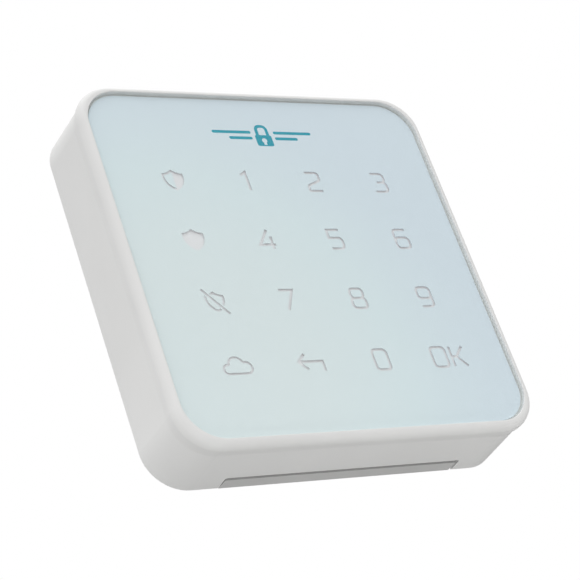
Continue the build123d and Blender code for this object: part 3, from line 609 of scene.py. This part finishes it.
wear(
    worked_metal(
        "nickel_plated_strip",
        "D9D8D2",
        "BDBBB3",
        roughness=0.26,
        mark_mm=0.5,
        mark_height_mm=0.004,
        stretch=(1.0, 0.2, 1.0),
    ),
    "battery_contacts",
)
wear(moulded_acetal("moulded_grey_acetal", "8E9396", "83888C", roughness=0.36), "tamper_plunger")
wear(moulded_acetal("moulded_black_acetal", "232426", "19191B", roughness=0.4), "power_slider")
wear(cell_sleeve("sleeved_cell_button_left", button_side=-1), "battery_cell_1", "battery_cell_3")
wear(cell_sleeve("sleeved_cell_button_right", button_side=1), "battery_cell_2", "battery_cell_4")

# ---- front glass ---------------------------------------------------------------------------------------
PANE_HAIR = 0.03 * MM
PANE_CORNER_R = 10.0 * MM
PANE_ARRIS = 0.3 * MM


def glass_pane():
    """Front glass, cut round at the corners, with an arris ground on its front edge.

    Its back stays a hair clear of the enamel, which lies in the same plane on the CAD piece.
    """
    low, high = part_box("glass_panel")
    high.y -= PANE_HAIR
    size = high - low
    shape = bmesh.new()
    bmesh.ops.create_cube(shape, size=1.0)
    bmesh.ops.scale(shape, vec=size, verts=shape.verts)
    corners = [edge for edge in shape.edges if edge.verts[0].co.y * edge.verts[1].co.y < 0]
    bmesh.ops.bevel(
        shape, geom=corners, offset=PANE_CORNER_R, affect="EDGES", segments=20, profile=0.5, material=-1
    )
    front = [edge for edge in shape.edges if all(vert.co.y < 0 for vert in edge.verts)]
    bmesh.ops.bevel(
        shape, geom=front, offset=PANE_ARRIS, affect="EDGES", segments=1, profile=0.5, material=-1
    )
    bmesh.ops.translate(shape, vec=(low + high) / 2, verts=shape.verts)
    pane = make_piece("glass_pane", shape, toughened_glass())
    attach(pane, "keypad")
    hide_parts("glass_panel")


glass_pane()

# ---- tamper spring -------------------------------------------------------------------------------------
SPRING_WELD = 0.001 * MM


def stretching_spring():
    """The plunger's coil, one end on the switch body, welded and smooth-shaded as one piece in place of the
    CAD spring.
    """
    shape = bmesh.new()
    shape.from_mesh(nodes["tamper_spring"].data)
    bmesh.ops.remove_doubles(shape, verts=shape.verts, dist=SPRING_WELD)
    for face in shape.faces:
        face.smooth = True
    spring = make_piece("stretching_spring", shape, spring_steel)
    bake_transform(spring)
    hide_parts("tamper_spring")


stretching_spring()

# ---- camera --------------------------------------------------------------------------------------------
VIEW_AZIMUTH = math.radians(-36.59)
VIEW_ELEVATION = math.radians(-27.39)
VIEW_ROLL = math.radians(-20.0)
VIEW_DISTANCE = 0.5018
LENS_MM = 122.4
SENSOR_MM = 36.0
AIM = Vector((-3.8 * MM, -14.6 * MM, -5.6 * MM))


def make_camera():
    """Camera low and to the left of the keypad, rolled clockwise."""
    camera = bpy.data.objects.new("camera", bpy.data.cameras.new("camera"))
    bpy.context.scene.collection.objects.link(camera)
    level = math.cos(VIEW_ELEVATION)
    back = Vector(
        (math.sin(VIEW_AZIMUTH) * level, -math.cos(VIEW_AZIMUTH) * level, math.sin(VIEW_ELEVATION))
    )
    camera.location = AIM + back * VIEW_DISTANCE
    camera.rotation_mode = "QUATERNION"
    upright = (-back).to_track_quat("-Z", "Y")
    camera.rotation_quaternion = upright @ Euler((0.0, 0.0, VIEW_ROLL)).to_quaternion()
    camera.data.lens = LENS_MM
    camera.data.sensor_width = SENSOR_MM
    camera.data.clip_start = 0.01
    camera.data.clip_end = 20.0
    bpy.context.scene.camera = camera


# ---- light and floor -----------------------------------------------------------------------------------
TENT_BRIGHT_SIDE = (-0.17, -0.33, 0.9)
TENT_MIDDLE = 0.66
TENT_SWING = 0.83
TENT_LEAST = 0.06
FLOOR_HALF = 1.6
FLOOR_DROP = -3.5
KEYPAD_MIDDLE = (0.0, -0.011, 0.0)


def soft_box(name, place, width, height, power, aim=KEYPAD_MIDDLE, mirrored=True):
    """Studio soft box turned to the keypad, and whether the glass mirrors it."""
    lamp = bpy.data.lights.new(name, "AREA")
    lamp.shape = "RECTANGLE"
    lamp.size = width
    lamp.size_y = height
    lamp.energy = power
    box = bpy.data.objects.new(name, lamp)
    bpy.context.scene.collection.objects.link(box)
    box.location = place
    box.rotation_mode = "QUATERNION"
    box.rotation_quaternion = (Vector(aim) - Vector(place)).to_track_quat("-Z", "Y")
    box.visible_camera = False
    box.visible_glossy = mirrored


def make_surround():
    """Studio tent: brightest from the upper front left, dim from below, and pure white to the eye."""
    world = bpy.data.worlds.new("studio")
    bpy.context.scene.world = world
    world.use_nodes = True
    tree = world.node_tree
    tree.nodes.clear()
    direction = add(tree, "ShaderNodeTexCoord").outputs["Generated"]
    facing = add(
        tree, "ShaderNodeVectorMath", {1: TENT_BRIGHT_SIDE}, {0: direction}, operation="DOT_PRODUCT"
    ).outputs["Value"]
    strength = add(
        tree, "ShaderNodeMath", {1: TENT_SWING, 2: TENT_MIDDLE}, {0: facing}, operation="MULTIPLY_ADD"
    )
    least = add(tree, "ShaderNodeMath", {1: TENT_LEAST}, {0: strength}, operation="MAXIMUM")
    seen = add(tree, "ShaderNodeLightPath").outputs["Is Camera Ray"]
    fill = add(tree, "ShaderNodeBackground", {"Color": linear("FFFFFF")}, {"Strength": least})
    white = add(tree, "ShaderNodeBackground", {"Color": linear("FFFFFF"), "Strength": 1.0})
    both = add(tree, "ShaderNodeMixShader", links={0: seen, 1: fill, 2: white})
    add(tree, "ShaderNodeOutputWorld", links={"Surface": both})


def make_floor():
    """Pale floor, well below the keypad."""
    shape = bmesh.new()
    bmesh.ops.create_grid(shape, x_segments=1, y_segments=1, size=FLOOR_HALF)
    bmesh.ops.translate(shape, vec=(0.0, 0.0, FLOOR_DROP), verts=shape.verts)
    paint = moulded_abs(
        "matt_painted_floor", "F0F0EE", "ECECEA", roughness=0.8, grain_mm=3.0, grain_height_mm=0.02
    )
    make_piece("floor", shape, paint)


make_camera()
make_surround()
make_floor()
soft_box("back_soft_box", (0.35, 1.4, 0.45), width=1.0, height=1.0, power=9.0)
soft_box("front_soft_box", (-0.3, -1.3, 0.8), width=0.8, height=0.8, power=0.15)
soft_box(
    "low_strip",
    (0.0, -0.031, -0.108),
    width=0.5,
    height=0.03,
    power=0.060,
    aim=(0.0, -0.015, 0.0),
    mirrored=False,
)
bpy.context.scene.view_settings.view_transform = "Standard"
bpy.context.scene.view_settings.look = "None"
